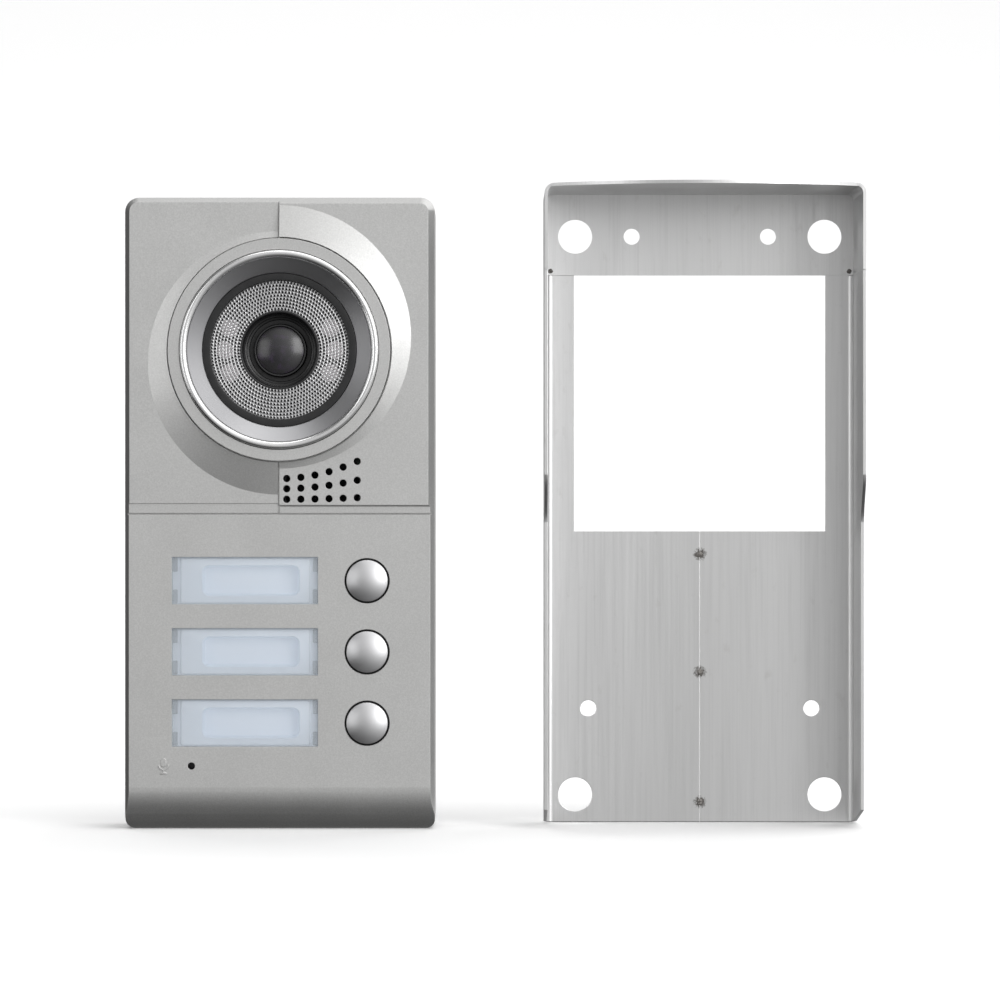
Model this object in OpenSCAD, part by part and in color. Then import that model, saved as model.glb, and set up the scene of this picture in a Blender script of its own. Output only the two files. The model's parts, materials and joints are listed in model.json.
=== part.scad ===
// Door intercom panel with three call buttons, and the folded rain hood that it is fastened in.
// Every sub-part is drawn with x to the right, y up from the underside and z out from the wall.
// upright() stands that up: +X right, +Y into the wall, +Z up, and the origin on the wall plane
// at the centre of the four rear bosses.

/* [Panel] */
// Width of the panel
panel_w = 97.8; // [90:0.2:120]
// Height of the panel
panel_h = 199.5; // [190:0.5:245]
// Distance from the wall to the highest part of the face
panel_d = 38; // [36:0.5:46]
// Side wall of the housing
wall = 3.4; // [3:0.1:4]
// Thickness of the face of the lower section
face_t = 3; // [2.4:0.1:3.6]
// Corner radius at the top
corner_r_high = 4.5; // [2.5:0.5:7]
// Corner radius at the bottom
corner_r_low = 3; // [2:0.5:6]
// Width of the bevel round the face
bevel_w = 2; // [1:0.2:2.6]
// Depth of the bevel round the face
bevel_d = 4; // [2:0.5:6]
// Height of the rounded chin
chin_h = 13.4; // [8:0.2:15]
// Radius of the rounded chin
chin_r = 14.5; // [14.5:0.5:18]

/* [Face steps] */
// How far the upper left face sits below the upper right face
left_step = 0.8; // [0.4:0.1:1.2]
// How far the lower face sits below the upper right face
low_step = 1.2; // [1:0.1:1.6]
// Distance from the camera's centre down to the groove between the sections
groove_drop = 51.7; // [50:0.1:56]
// Width of the grooves
groove_w = 0.45; // [0.3:0.05:0.8]
// Depth of the grooves
groove_d = 0.8; // [0.4:0.1:1.2]
// Height of the ledge above the groove on the left
ledge_left = 2.3; // [1:0.1:3]
// Height of the ledge above the groove on the right
ledge_right = 2.8; // [1:0.1:3.5]

/* [Camera] */
// Distance from the top of the panel to the camera's centre
camera_drop = 48.2; // [46:0.1:60]
// Outer radius of the chrome bezel
bezel_r = 31.3; // [29:0.1:34]
// Inner radius of the bezel's cone
bezel_inner_r = 24.3; // [23:0.1:26]
// Width of the flat ring that the bezel sits in
ring_w = 3.5; // [2:0.1:5]
// How far the flat ring stands above the upper right face
ring_step = 2.9; // [2.8:0.1:3.2]
// How far the bezel's rim stands above the flat ring
rim_step = 1.2; // [0.6:0.1:2]
// Radius of each eccentric swell that rises towards the ring
swell_r = 41.5; // [40:0.1:41.8]
// Distance from the camera's centre to each swell's centre
swell_shift = 4.1; // [2:0.1:4.2]
// Height of the cone that each swell is part of
swell_h = 2.7; // [1:0.1:2.7]
// Width of that cone's slope
swell_run = 11; // [10.8:0.2:14]
// Outer radius of the lamp mesh
mesh_r = 22; // [21:0.1:23]
// Radius of the opening that the lens looks out of
shroud_r = 12.4; // [11.4:0.1:12.6]
// Radius of the lens barrel's head
lens_r = 8.2; // [7:0.1:8.6]
// Radius of the lens barrel's thread
lens_thread_r = 6; // [5:0.1:7]
// Radius of the circle that the infrared lamps sit on
lamp_circle_r = 17.4; // [17.2:0.1:18]
// Angle between neighbouring lamps on each side
lamp_step = 24; // [20:1:30]

/* [Name windows and call buttons] */
// Height of the bottom name window's centre above the underside
lowest_up = 33.65; // [33.6:0.05:38]
// Distance between neighbouring windows
row_pitch = 22.45; // [20.5:0.05:24]
// Width of a window's clear cover
window_w = 45.9; // [42:0.1:48]
// Height of a window's clear cover
window_h = 14.7; // [13:0.1:16]
// Distance from the panel's centre line to the windows' centre
window_x = 10.95; // [9:0.05:12]
// Distance from the panel's centre line to the buttons' centre
button_x = 27.6; // [26:0.1:29]
// Radius of a button's cap
button_r = 6.5; // [5.5:0.1:7.8]
// Gap between a cap and the hole in the face
button_gap = 0.65; // [0.3:0.05:0.8]
// Height of a cap's domed top
dome_h = 1.5; // [1:0.1:2.6]
// Travel of a call button
button_travel = 1; // [0.6:0.1:1.2]
// Radius of a button's stem
stem_r = 2; // [1.5:0.1:2.3]
// Running clearance of a stem in its guide
stem_gap = 0.05; // [0.03:0.01:0.1]

/* [Speaker and microphone] */
// Radius of the speaker
speaker_r = 13.6; // [12:0.1:13.8]
// Distance from the panel's centre line to the speaker's centre
speaker_x = 13.4; // [12:0.1:14]
// Distance from the camera's centre down to the speaker's centre
speaker_drop = 43.8; // [43.8:0.1:45]
// Radius of a speaker hole
sound_hole_r = 1.15; // [0.8:0.05:1.3]
// Distance between neighbouring columns of speaker holes
sound_pitch = 4.44; // [4:0.02:4.6]
// Distance from the panel's centre line to the microphone
mic_x = 27.8; // [25:0.1:30]
// Height of the microphone above the underside
mic_up = 20.1; // [19:0.1:20.5]

/* [Rain hood] */
// Thickness of the sheet
sheet_t = 1; // [0.8:0.1:1.5]
// Gap between the panel's sides and the hood
hood_gap = 0.6; // [0.4:0.1:1.5]
// Gap between the panel's top and the visor
visor_gap = 3; // [1:0.5:6]
// Depth of the flanges beside the camera
flange_d_high = 43; // [36:1:50]
// Depth of the flanges beside the buttons
flange_d_low = 34; // [24:1:36]
// How far the visor's front edge bows out in the middle
visor_bow = 16; // [6:1:20]
// Inner radius of the bends
bend_r = 2; // [1:0.5:2.5]
// Height of the cap's back plate, with the visor
cap_h = 27; // [24:0.5:40]
// Width of the cable window
cable_window_w = 81; // [60:0.5:84]
// Height of the cable window
cable_window_h = 82.6; // [60:0.2:86]
// Radius of the four holes for the panel's bosses
boss_hole_r = 5.5; // [5:0.1:6.6]
// Radius of the four wall screw holes
wall_hole_r = 2.6; // [2:0.1:3]
// Distance between the upper wall screw holes
wall_hole_high_w = 44; // [30:0.5:56]
// Distance between the lower wall screw holes
wall_hole_low_w = 72; // [50:0.5:78]
// Height of the lower wall screw holes
wall_hole_low_up = 36.8; // [26:0.2:60]
// Gap between the panel and the hood when the hood stands beside it
beside_gap = 34.6; // [10:0.2:80]

/* [Hidden] */
$fn = 96;
over = 1;
fit = 0.1;

// Levels out from the wall.
cover_z = sheet_t + 0.2;
cover_t = 2.2;
housing_z = 4;
seal_h = 1.8;
tongue_h = 4;
left_face = panel_d - left_step;
low_face = panel_d - low_step;
low_inner = low_face - face_t;
ring_face = panel_d + ring_step;
rim_face = ring_face + rim_step;
board_t = 1.6;
board_z = low_inner - 13.8;
collar_z = panel_d - 6.5;
bezel_seat = panel_d - 5;
mesh_z = rim_face - 5.4;

ledge_run = 0.4;
swell_sink = 0.05;

// Places up from the underside.
camera_up = panel_h - camera_drop;
groove_up = camera_up - groove_drop;
speaker_up = camera_up - speaker_drop;
board_low = 17;
board_high = camera_up - 33.3;
rows = [2 * row_pitch, row_pitch, 0];

// The four bosses that sit in the hood, and the case screws beside them.
boss_r = boss_hole_r - 0.3;
boss_x = panel_w / 2 - 8.65;
boss_low = 9;
boss_high = panel_h - 10.5;
pattern_up = (boss_low + boss_high) / 2;
bosses = [for (x = [-boss_x, boss_x], up = [boss_low, boss_high]) [x, up]];
case_x = boss_x - 11;
case_posts = [for (x = [-case_x, case_x], up = [boss_low, boss_high]) [x, up]];
case_post_r = 3.5;
case_well_r = 3.4;
case_screw_r = 1.2;
thread_gap = 0.05;

// Insets from the panel's outline.
recess_in = 2.2;
cover_in = recess_in + 0.3;
seal_w = 1.1;
tongue_in = cover_in + seal_w + fit;
tongue_t = 1.6;

// Boards and their screws.
board_w = panel_w - 2 * wall - 3;
board_post_x = panel_w / 2 - 7.9;
board_posts = [for (x = [-board_post_x, board_post_x], up = [24, board_high - 8]) [x, up]];
post_r = 2.8;
camera_board_z = 11;
camera_posts = [for (x = [-34, 34], dy = [-12, 12]) [x, camera_up + dy]];
screw_r = 1.2;
screw_head_r = 2.6;
screw_head_h = 1.8;

// Parts round the lens.
bore_r = bezel_r + 0.2;
ring_r = bezel_r + ring_w + 0.2;
collar_r = 44;
sleeve_t = 1.6;
lamp_board_z = mesh_z - 6.4;
lamp_r = 2.5;
lamp_angles = [for (side = [0, 180], step = [-lamp_step, 0, lamp_step]) side + step];
lens_front = mesh_z - 4.2;
lens_glass_r = lens_r - 0.8;
lens_bulge = 1.7;
holder_z = camera_board_z + board_t;

// Call buttons.
hole_r = button_r + button_gap;
flange_r = button_r + 1.5;
flange_t = 1.5;
cap_top = low_face + 0.8;
dome_r = (button_r * button_r + dome_h * dome_h) / (2 * dome_h);
pocket_r = button_r - 1.1;
pocket_top = low_face - 0.8;
carrier_z = low_inner - 5.6;
carrier_t = 1.6;
guide_r = stem_r + 1.4;
guide_h = 1.2;
switch_h = 3.5;
plunger_h = 0.8;
plunger_r = 1.7;
stem_low = board_z + board_t + switch_h + plunger_h + button_travel + 0.05;
spring_wire_r = 0.3;
spring_r = (guide_r + pocket_r) / 2;
spring_turns = 5;

// Name windows.
window_t = 2;
window_gap = 0.1;
tray_lip = 1.6;
tray_wall = 1.5;
card_recess_w = 30.3;
card_recess_h = 9.2;
card_recess_shift = 1.8;

// Speaker holes: each row is a parabola that bends up to the right, the lowest one least.
sound_columns = 6;
sound_first_x = 2.3;
sound_rows = [[47.1, 600], [43.8, 111], [40.6, 55]];

// Microphone.
boot_r = 4.4;
capsule_r = 2.95;
capsule_h = 2.7;

// Terminal block.
terminal_x = -15;
terminal_up = board_high - 10;
terminal_poles = 4;
terminal_pitch = 5.08;
terminal_w = terminal_poles * terminal_pitch;
terminal_h = 10.2;
terminal_z = 5;
terminal_screw_r = 1.6;

// Rain hood.
hood_w = panel_w + 2 * hood_gap + 2 * sheet_t;
hood_h = panel_h + visor_gap + sheet_t;
hood_x = panel_w / 2 + beside_gap + hood_w / 2;
cap_low = hood_h - cap_h;
cable_window_low = cap_low - cable_window_h;
bend_outer_r = bend_r + sheet_t;
bow_r = (hood_w * hood_w / 4 + visor_bow * visor_bow) / (2 * visor_bow);
flange_s = 7.5;
flange_s_up = groove_up + 4.9;
flange_foot = 6;
weld_spots = [cable_window_low - 7.4, cable_window_low - 45.4, 6.6];

function curve(points, n, i) = points[0] + (points[1] - points[0]) * i / n;

module upright()
    rotate([90, 0, 0])
        translate([0, -pattern_up, 0])
            children();

module beside()
    upright()
        translate([hood_x, 0, 0])
            children();

module across(w)
    rotate([0, -90, 0])
        linear_extrude(w, center = true)
            children();

module slab(w, h, z0, z1)
    translate([-w / 2, -h / 2, z0])
        cube([w, h, z1 - z0]);

module rod(r, z0, z1)
    translate([0, 0, z0])
        cylinder(r = r, h = z1 - z0);

module tube(outer, inner, z0, z1)
    difference() {
        rod(outer, z0, z1);
        rod(inner, z0 - over, z1 + over);
    }

module at(points)
    for (p = points)
        translate([p[0], p[1], 0])
            children();

// A rectangle on the x axis with its own corner radius at each end.
module rounded(w, h, low, high) {
    translate([-w / 2, low])
        square([w, h - low - high]);
    translate([-w / 2 + low, 0])
        square([w - 2 * low, h / 2]);
    translate([-w / 2 + high, h / 2])
        square([w - 2 * high, h / 2]);
    for (side = [-1, 1]) {
        translate([side * (w / 2 - low), low])
            circle(low);
        translate([side * (w / 2 - high), h - high])
            circle(high);
    }
}

// The panel's outline, moved in by the inset.
module outline(inset)
    translate([0, inset])
        rounded(panel_w - 2 * inset, panel_h - 2 * inset,
            max(corner_r_low - inset, 0.6), max(corner_r_high - inset, 0.6));

module outline_plate(inset, z0, z1)
    translate([0, 0, z0])
        linear_extrude(z1 - z0)
            outline(inset);

// Side view of the room inside the chin, moved in by the inset. Its x is the way out.
module chin_profile(inset) {
    translate([0, chin_h])
        square([panel_d + 10, panel_h]);
    translate([0, inset])
        square([low_face - chin_r, chin_h]);
    intersection() {
        translate([low_face - chin_r, chin_h])
            circle(chin_r - inset);
        translate([0, inset])
            square([panel_d, chin_h]);
    }
}

// ---- Housing ----

module housing_block()
    intersection() {
        hull($fn = 32) {
            outline_plate(0, housing_z, panel_d - bevel_d);
            outline_plate(bevel_w, panel_d - bevel_d, panel_d);
        }
        across(panel_w + 2)
            chin_profile(0);
    }

module housing_cavity() {
    intersection() {
        outline_plate(wall, housing_z - over, low_inner);
        across(panel_w)
            chin_profile(wall);
    }
    outline_plate(recess_in, housing_z - over, cover_z + cover_t + seal_h + fit);
}

// The half planes that give the face its steps.
module face_steps() {
    translate([-panel_w, groove_up + ledge_left, left_face])
        cube([panel_w, panel_h, over * 3]);
    translate([-panel_w, groove_up, low_face + 0.1])
        cube([panel_w, ledge_left + over, over * 3]);
    translate([-panel_w, -over, low_face])
        cube([2 * panel_w, groove_up + over, over * 3]);
    translate([panel_w / 2, 0, 0])
        across(panel_w)
            polygon([
                [low_face + 0.1, groove_up + ledge_right - ledge_run],
                [panel_d, groove_up + ledge_right],
                [panel_d + over, groove_up + ledge_right],
                [panel_d + over, groove_up - over],
                [low_face + 0.1, groove_up - over]
            ]);
}

// The groove between the sections, the seam that divides the upper face, and the groove round the ring.
module grooves() {
    translate([0, camera_up, 0])
        tube(ring_r + groove_w, ring_r - over, left_face - groove_d, ring_face + over);
    translate([-panel_w, groove_up - groove_w / 2, low_face - groove_d])
        cube([2 * panel_w, groove_w, over * 4]);
    translate([-groove_w, groove_up, left_face - groove_d])
        cube([groove_w, panel_h, over * 5]);
}

// One half of the swell round the camera, side is -1 on the left and 1 on the right.
module swell(side, face)
    intersection() {
        translate([side < 0 ? -panel_w : 0, 0, 0])
            cube([panel_w, panel_h, panel_d + 5]);
        translate([0, camera_up + side * swell_shift, face - swell_sink])
            cylinder(r1 = swell_r + swell_sink * swell_run / swell_h, r2 = swell_r - swell_run,
                h = swell_h + swell_sink);
    }

// A raised generic microphone sign, 5 high.
module microphone_sign()
    linear_extrude(0.3) {
        hull($fn = 24) {
            translate([0, 0.7])
                circle(0.8);
            translate([0, 1.9])
                circle(0.8);
        }
        difference() {
            translate([0, 0.6])
                circle(1.75);
            translate([0, 0.6])
                circle(1.35);
            translate([-3, 0.6])
                square([6, 3]);
        }
        translate([-0.2, -2])
            square([0.4, 1.05]);
        translate([-1.1, -2.3])
            square([2.2, 0.4]);
    }

module sound_holes()
    for (row = sound_rows, i = [0:sound_columns - 1]) {
        x = sound_first_x + i * sound_pitch;
        translate([x, camera_up - row[0] + x * x / (2 * row[1]), 0])
            rod(sound_hole_r, low_inner - 4, panel_d + over);
    }

// The shell with its stepped face, and the collar behind the camera.
module housing_shell()
    difference() {
        union() {
            difference() {
                housing_block();
                housing_cavity();
            }
            intersection() {
                translate([0, camera_up, 0])
                    rod(collar_r, collar_z, low_inner + fit);
                outline_plate(wall - fit, housing_z, panel_d);
            }
        }
        face_steps();
    }

module front_housing()
    color("#bdbcb9")
        upright()
            difference() {
                union() {
                    difference() {
                        union() {
                            housing_shell();
                            swell(-1, left_face);
                            swell(1, panel_d);
                        }
                        grooves();
                    }
                    translate([0, camera_up, 0])
                        rod(ring_r, collar_z + over, ring_face);
                    at(case_posts)
                        rod(case_post_r, cover_z + cover_t + tongue_h + fit, low_inner + fit);
                    at(board_posts)
                        rod(post_r, board_z + board_t, low_inner + fit);
                    at(camera_posts)
                        rod(post_r, camera_board_z + board_t, collar_z + fit);
                    translate([-36.6, mic_up - 0.2, low_face])
                        microphone_sign();
                }
                translate([0, camera_up, 0]) {
                    rod(bore_r, bezel_seat, rim_face + over);
                    rod(bore_r - 2, collar_z - over, bezel_seat + over);
                }
                translate([speaker_x, speaker_up, 0])
                    rod(speaker_r + 0.3, collar_z - over, low_inner);
                sound_holes();
                for (row = rows) {
                    translate([-window_x, lowest_up + row, 0])
                        slab(window_w + 2 * window_gap, window_h + 2 * window_gap,
                            low_inner - over, low_face + over);
                    translate([button_x, lowest_up + row, 0])
                        rod(hole_r, low_inner - over, low_face + over);
                }
                translate([-mic_x, mic_up, 0])
                    rod(sound_hole_r, low_inner - over, low_face + over);
                at(case_posts)
                    rod(case_screw_r + thread_gap, housing_z, 19);
                at(board_posts)
                    rod(screw_r + thread_gap, board_z, board_z + 10);
                at(camera_posts)
                    rod(screw_r + thread_gap, camera_board_z, camera_board_z + 10);
            }

module rear_cover()
    color("#3a3b3d")
        upright()
            difference() {
                union() {
                    outline_plate(cover_in, cover_z, cover_z + cover_t);
                    difference() {
                        outline_plate(tongue_in, cover_z + fit, cover_z + cover_t + tongue_h);
                        outline_plate(tongue_in + tongue_t, cover_z, cover_z + cover_t + tongue_h + over);
                    }
                    at(bosses)
                        rod(boss_r, 0, cover_z + cover_t);
                    at(case_posts)
                        rod(case_well_r + 1, cover_z, cover_z + cover_t + tongue_h);
                }
                at(case_posts) {
                    rod(case_well_r, -over, 4.4);
                    rod(case_screw_r + 0.4, 0, 9);
                }
                translate([terminal_x, terminal_up, 0])
                    slab(terminal_w + 4, terminal_h + 4, 0, 9);
            }

module housing_seal()
    color("#1d1d1e")
        upright()
            difference() {
                outline_plate(cover_in, cover_z + cover_t, cover_z + cover_t + seal_h);
                outline_plate(cover_in + seal_w, cover_z, 9);
            }

// A cross-recessed pan head screw that points out from the wall, with its head's seat at z.
module screw(r, head_r, head_h, z, length)
    difference() {
        union() {
            rod(head_r, z - head_h, z);
            rod(r, z - head_h, z + length);
        }
        for (turn = [0, 90])
            rotate([0, 0, turn])
                slab(head_r * 1.1, 0.6, z - head_h - over, z - head_h / 2);
    }

module case_screws()
    color("#9a9b9d")
        upright()
            at(case_posts)
                screw(case_screw_r, 3, 2.2, 4.4, 12);

// ---- Camera ----

// The bezel is one turned ring: an outer wall, a rounded rim, a cone and an inner sleeve.
module camera_bezel()
    color("#d4d5d8")
        upright()
            translate([0, camera_up, 0])
                rotate_extrude() {
                    polygon([
                        [bezel_inner_r, collar_z],
                        [bezel_inner_r + sleeve_t, collar_z],
                        [bezel_inner_r + sleeve_t, bezel_seat],
                        [bezel_r, bezel_seat],
                        [bezel_r, rim_face - 0.9],
                        [bezel_r - 1.8, rim_face - 0.9],
                        [bezel_inner_r + 0.1, mesh_z + 0.8],
                        [bezel_inner_r, mesh_z + 0.8]
                    ]);
                    translate([bezel_r - 0.9, rim_face - 0.9])
                        circle(0.9);
                }

module lamp_ring()
    color("#17181a")
        upright()
            translate([0, camera_up, 0])
                difference() {
                    rod(bezel_inner_r - fit, lamp_board_z - 1, mesh_z + 0.8);
                    rod(mesh_r, mesh_z - 0.5, mesh_z + over);
                    rod(mesh_r - 1, mesh_z - 2.6, mesh_z);
                    rod(bezel_inner_r - 0.8, lamp_board_z - over - 1, mesh_z - 2.6);
                }

module lamp_mesh()
    color("#8f9092")
        upright()
            translate([0, camera_up, 0])
                tube(mesh_r - 0.05, shroud_r + 0.05, mesh_z - 0.45, mesh_z);

module camera_shroud()
    color("#121214")
        upright()
            translate([0, camera_up, 0]) {
                tube(shroud_r, shroud_r - 0.8, lens_front - 4, mesh_z + 0.2);
                tube(shroud_r - 0.7, lens_r + 0.2, lens_front - 4, lens_front - 3);
            }

module infrared_board()
    color("#1f4d33")
        upright()
            translate([0, camera_up, 0])
                tube(bezel_inner_r - 0.9, shroud_r + 0.4, lamp_board_z, lamp_board_z + board_t);

module infrared_lamps()
    color("#c9ccd6")
        upright()
            translate([0, camera_up, 0])
                for (turn = lamp_angles)
                    rotate([0, 0, turn])
                        translate([lamp_circle_r, 0, 0]) {
                            rod(lamp_r + 0.3, lamp_board_z + board_t, lamp_board_z + board_t + 0.8);
                            rod(lamp_r, lamp_board_z + board_t, mesh_z - 3.1);
                            translate([0, 0, mesh_z - 3.1])
                                intersection() {
                                    sphere(lamp_r);
                                    rod(lamp_r, 0, lamp_r);
                                }
                        }

module lens_barrel()
    color("#0e0e10")
        upright()
            translate([0, camera_up, 0])
                difference() {
                    union() {
                        rod(lens_r, lens_front - 6, lens_front);
                        rod(lens_thread_r, lens_front - 14, lens_front - 5);
                    }
                    rod(lens_glass_r + 0.05, lens_front - 1, lens_front + over);
                    rod(lens_thread_r - 1.5, lens_front - 15, lens_front);
                }

module lens_glass()
    color("#2a2338")
        upright()
            translate([0, camera_up, lens_front - 1]) {
                bulge_r = (lens_glass_r * lens_glass_r + lens_bulge * lens_bulge) / (2 * lens_bulge);
                rod(lens_glass_r, 0, 1);
                intersection() {
                    translate([0, 0, 1 + lens_bulge - bulge_r])
                        sphere(bulge_r);
                    rod(lens_glass_r, 1, 1 + lens_bulge);
                }
            }

module lens_holder()
    color("#1a1a1c")
        upright()
            translate([0, camera_up, 0])
                difference() {
                    union() {
                        slab(18, 18, holder_z, holder_z + 4);
                        rod(lens_thread_r + 1.6, holder_z, lens_front - 7);
                    }
                    rod(lens_thread_r + thread_gap, holder_z + 3, lens_front);
                    slab(9, 9, holder_z - over, holder_z + 3.2);
                }

module image_sensor()
    color("#20242c")
        upright()
            translate([0, camera_up, 0])
                slab(8, 8, holder_z, holder_z + 1.2);

module camera_board()
    color("#1f4d33")
        upright()
            difference() {
                translate([0, camera_up, 0])
                    slab(75, 32, camera_board_z, camera_board_z + board_t);
                at(camera_posts)
                    rod(screw_r + 0.4, camera_board_z - over, camera_board_z + 3);
            }

module camera_board_screws()
    color("#9a9b9d")
        upright()
            at(camera_posts)
                screw(screw_r, screw_head_r, screw_head_h, camera_board_z, 8);

// ---- Name windows ----

module name_window(row)
    color("#dfe8ee", 0.45)
        upright()
            translate([-window_x, lowest_up + row, 0]) {
                slab(window_w, window_h, low_face - window_t, low_face);
                for (side = [-1, 1])
                    translate([side * (window_w / 2 - 0.9), 0, 0])
                        slab(1.2, window_h - 5, low_inner, low_face - window_t + fit);
            }

module name_tray(row)
    color("#dbe3ea")
        upright()
            translate([-window_x, lowest_up + row, 0])
                difference() {
                    union() {
                        slab(window_w - 4.4, window_h - 0.4, low_inner - over, low_face - window_t - 0.2);
                        slab(window_w + 2 * tray_lip, window_h + 2 * tray_lip, low_inner - 2, low_inner - fit);
                        slab(window_w - 2, window_h - 1, board_z + board_t + 1, low_inner - over);
                    }
                    translate([card_recess_shift, -card_recess_h / 2, low_inner - 1.2])
                        linear_extrude(4)
                            rounded(card_recess_w, card_recess_h, 2, 2);
                    slab(window_w - 2 - 2 * tray_wall, window_h - 1 - 2 * tray_wall, board_z, low_inner - 2.8);
                }

// ---- Call buttons ----

module call_button(row)
    color("#c6c7ca")
        upright()
            translate([button_x, lowest_up + row, 0]) {
                difference() {
                    union() {
                        rod(flange_r, low_inner - fit - flange_t, low_inner - fit);
                        rod(button_r, low_inner - flange_t, cap_top);
                        intersection() {
                            translate([0, 0, cap_top + dome_h - dome_r])
                                sphere(dome_r);
                            rod(button_r, cap_top - over, cap_top + dome_h);
                        }
                    }
                    rod(pocket_r, low_inner - 5, pocket_top);
                }
                rod(stem_r, stem_low, pocket_top + fit);
            }

// One coil spring: rings of points along a helix, joined into a closed tube.
module button_spring(row) {
    sides = 8;
    per_turn = 18;
    last = spring_turns * per_turn;
    low = carrier_z + carrier_t + spring_wire_r + 0.02;
    high = pocket_top - spring_wire_r - 0.02;
    points = [for (i = [0:last], j = [0:sides - 1])
        let (turn = i * 360 / per_turn, a = j * 360 / sides, r = spring_r + spring_wire_r * cos(a))
        [r * cos(turn), r * sin(turn), curve([low, high], last, i) + spring_wire_r * sin(a)]];
    walls = [for (i = [0:last - 1], j = [0:sides - 1])
        let (k = (j + 1) % sides)
        [i * sides + j, i * sides + k, (i + 1) * sides + k, (i + 1) * sides + j]];
    ends = [[for (j = [0:sides - 1]) sides - 1 - j], [for (j = [0:sides - 1]) last * sides + j]];
    color("#8c8e92")
        upright()
            translate([button_x, lowest_up + row, 0])
                polyhedron(points, concat(ends, walls), convexity = 6);
}

module button_carrier()
    color("#26272a")
        upright()
            translate([button_x, lowest_up, 0])
                difference() {
                    union() {
                        translate([0, row_pitch, 0])
                            slab(21, 2 * row_pitch + 20, carrier_z, carrier_z + carrier_t);
                        for (row = rows)
                            translate([0, row, 0])
                                rod(guide_r, carrier_z, carrier_z + carrier_t + guide_h);
                        for (x = [-8.5, 8.5], up = [-8.3, 2 * row_pitch + 8.3])
                            translate([x, up, 0])
                                rod(1.6, board_z + board_t, carrier_z + fit);
                    }
                    for (row = rows)
                        translate([0, row, 0])
                            rod(stem_r + stem_gap, carrier_z - over, carrier_z + 5);
                }

module tact_switches()
    color("#2b2b2e")
        upright()
            for (row = rows)
                translate([button_x, lowest_up + row, board_z + board_t]) {
                    slab(6, 6, 0, switch_h);
                    rod(plunger_r, 0, switch_h + plunger_h);
                }

// ---- Boards ----

module main_board()
    color("#1f4d33")
        upright()
            difference() {
                translate([0, (board_low + board_high) / 2, 0])
                    slab(board_w, board_high - board_low, board_z, board_z + board_t);
                at(board_posts)
                    rod(screw_r + 0.4, board_z - over, board_z + 3);
            }

module main_board_screws()
    color("#9a9b9d")
        upright()
            at(board_posts)
                screw(screw_r, screw_head_r, screw_head_h, board_z, 8);

module main_processor()
    color("#161719")
        upright()
            translate([20, lowest_up + row_pitch, 0])
                slab(14, 14, board_z - 1.2, board_z);

module backlight_lamps()
    color("#f4f1dc")
        upright()
            for (row = rows, dx = [-12, 12])
                translate([-window_x + dx, lowest_up + row, board_z + board_t])
                    slab(3, 2.8, 0, 0.8);

// A flat cable with a plug at each end, from the camera board's back to the main board's back.
module ribbon_cable() {
    ribbon_t = 0.6;
    plug_h = 2.2;
    plug_w = 4.4;
    high_up = camera_up - 13.5;
    low_up = board_high - 4;
    back = camera_board_z - 1.4;
    front = board_z - 1.4;
    path = [
        [back, high_up - plug_w / 2 + fit], [back, high_up - 9],
        [front, low_up + 7], [front, low_up + plug_w / 2 - fit]
    ];
    color("#d8d8d2")
        upright()
            translate([20, 0, 0]) {
                translate([0, high_up, 0])
                    slab(12, plug_w, camera_board_z - plug_h, camera_board_z);
                translate([0, low_up, 0])
                    slab(12, plug_w, board_z - plug_h, board_z);
                across(10)
                    polygon([
                        path[0], path[1], path[2], path[3],
                        path[3] + [ribbon_t, 0], path[2] + [ribbon_t, 0],
                        path[1] + [ribbon_t, 0], path[0] + [ribbon_t, 0]
                    ]);
            }
}

module terminal_block()
    color("#2f6b3f")
        upright()
            translate([terminal_x, terminal_up, 0])
                difference() {
                    slab(terminal_w, terminal_h, terminal_z, board_z);
                    for (i = [0:terminal_poles - 1])
                        translate([(i - (terminal_poles - 1) / 2) * terminal_pitch, 0, 0]) {
                            translate([0, 2.4, 0])
                                rod(terminal_screw_r + thread_gap, terminal_z - over, terminal_z + 5);
                            translate([0, -2.4, 0])
                                slab(2.6, 2.6, terminal_z - over, terminal_z + 8);
                        }
                }

module terminal_screws()
    color("#b9babc")
        upright()
            translate([terminal_x, terminal_up + 2.4, 0])
                for (i = [0:terminal_poles - 1])
                    translate([(i - (terminal_poles - 1) / 2) * terminal_pitch, 0, 0])
                        difference() {
                            rod(terminal_screw_r, terminal_z + 1, terminal_z + 5);
                            slab(4, 0.6, terminal_z, terminal_z + 1.8);
                        }

// ---- Speaker and microphone ----

module at_speaker()
    upright()
        translate([speaker_x, speaker_up, 0])
            children();

module speaker_gasket()
    color("#27282a")
        at_speaker()
            tube(speaker_r, speaker_r - 1.2, low_inner - 0.9, low_inner);

module speaker_basket()
    color("#6f7174")
        at_speaker()
            difference() {
                union() {
                    rod(speaker_r, low_inner - 1.9, low_inner - 0.9);
                    translate([0, 0, low_inner - 7.4])
                        cylinder(r1 = speaker_r - 4.6, r2 = speaker_r - 1.2, h = 5.6);
                }
                translate([0, 0, low_inner - 6.4])
                    cylinder(r1 = speaker_r - 5.4, r2 = speaker_r - 1.4, h = 6);
                rod(4, low_inner - 8, low_inner);
            }

module speaker_cone()
    color("#35363a")
        at_speaker()
            difference() {
                translate([0, 0, low_inner - 5])
                    cylinder(r1 = 4, r2 = speaker_r - 2.6, h = 3.4);
                translate([0, 0, low_inner - 4.4])
                    cylinder(r1 = 3.6, r2 = speaker_r - 2.8, h = 3.2);
            }

module speaker_magnet()
    color("#8d8f93")
        at_speaker()
            rod(8, low_inner - 11.2, low_inner - 7.4);

module at_microphone()
    upright()
        translate([-mic_x, mic_up, 0])
            children();

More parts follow.
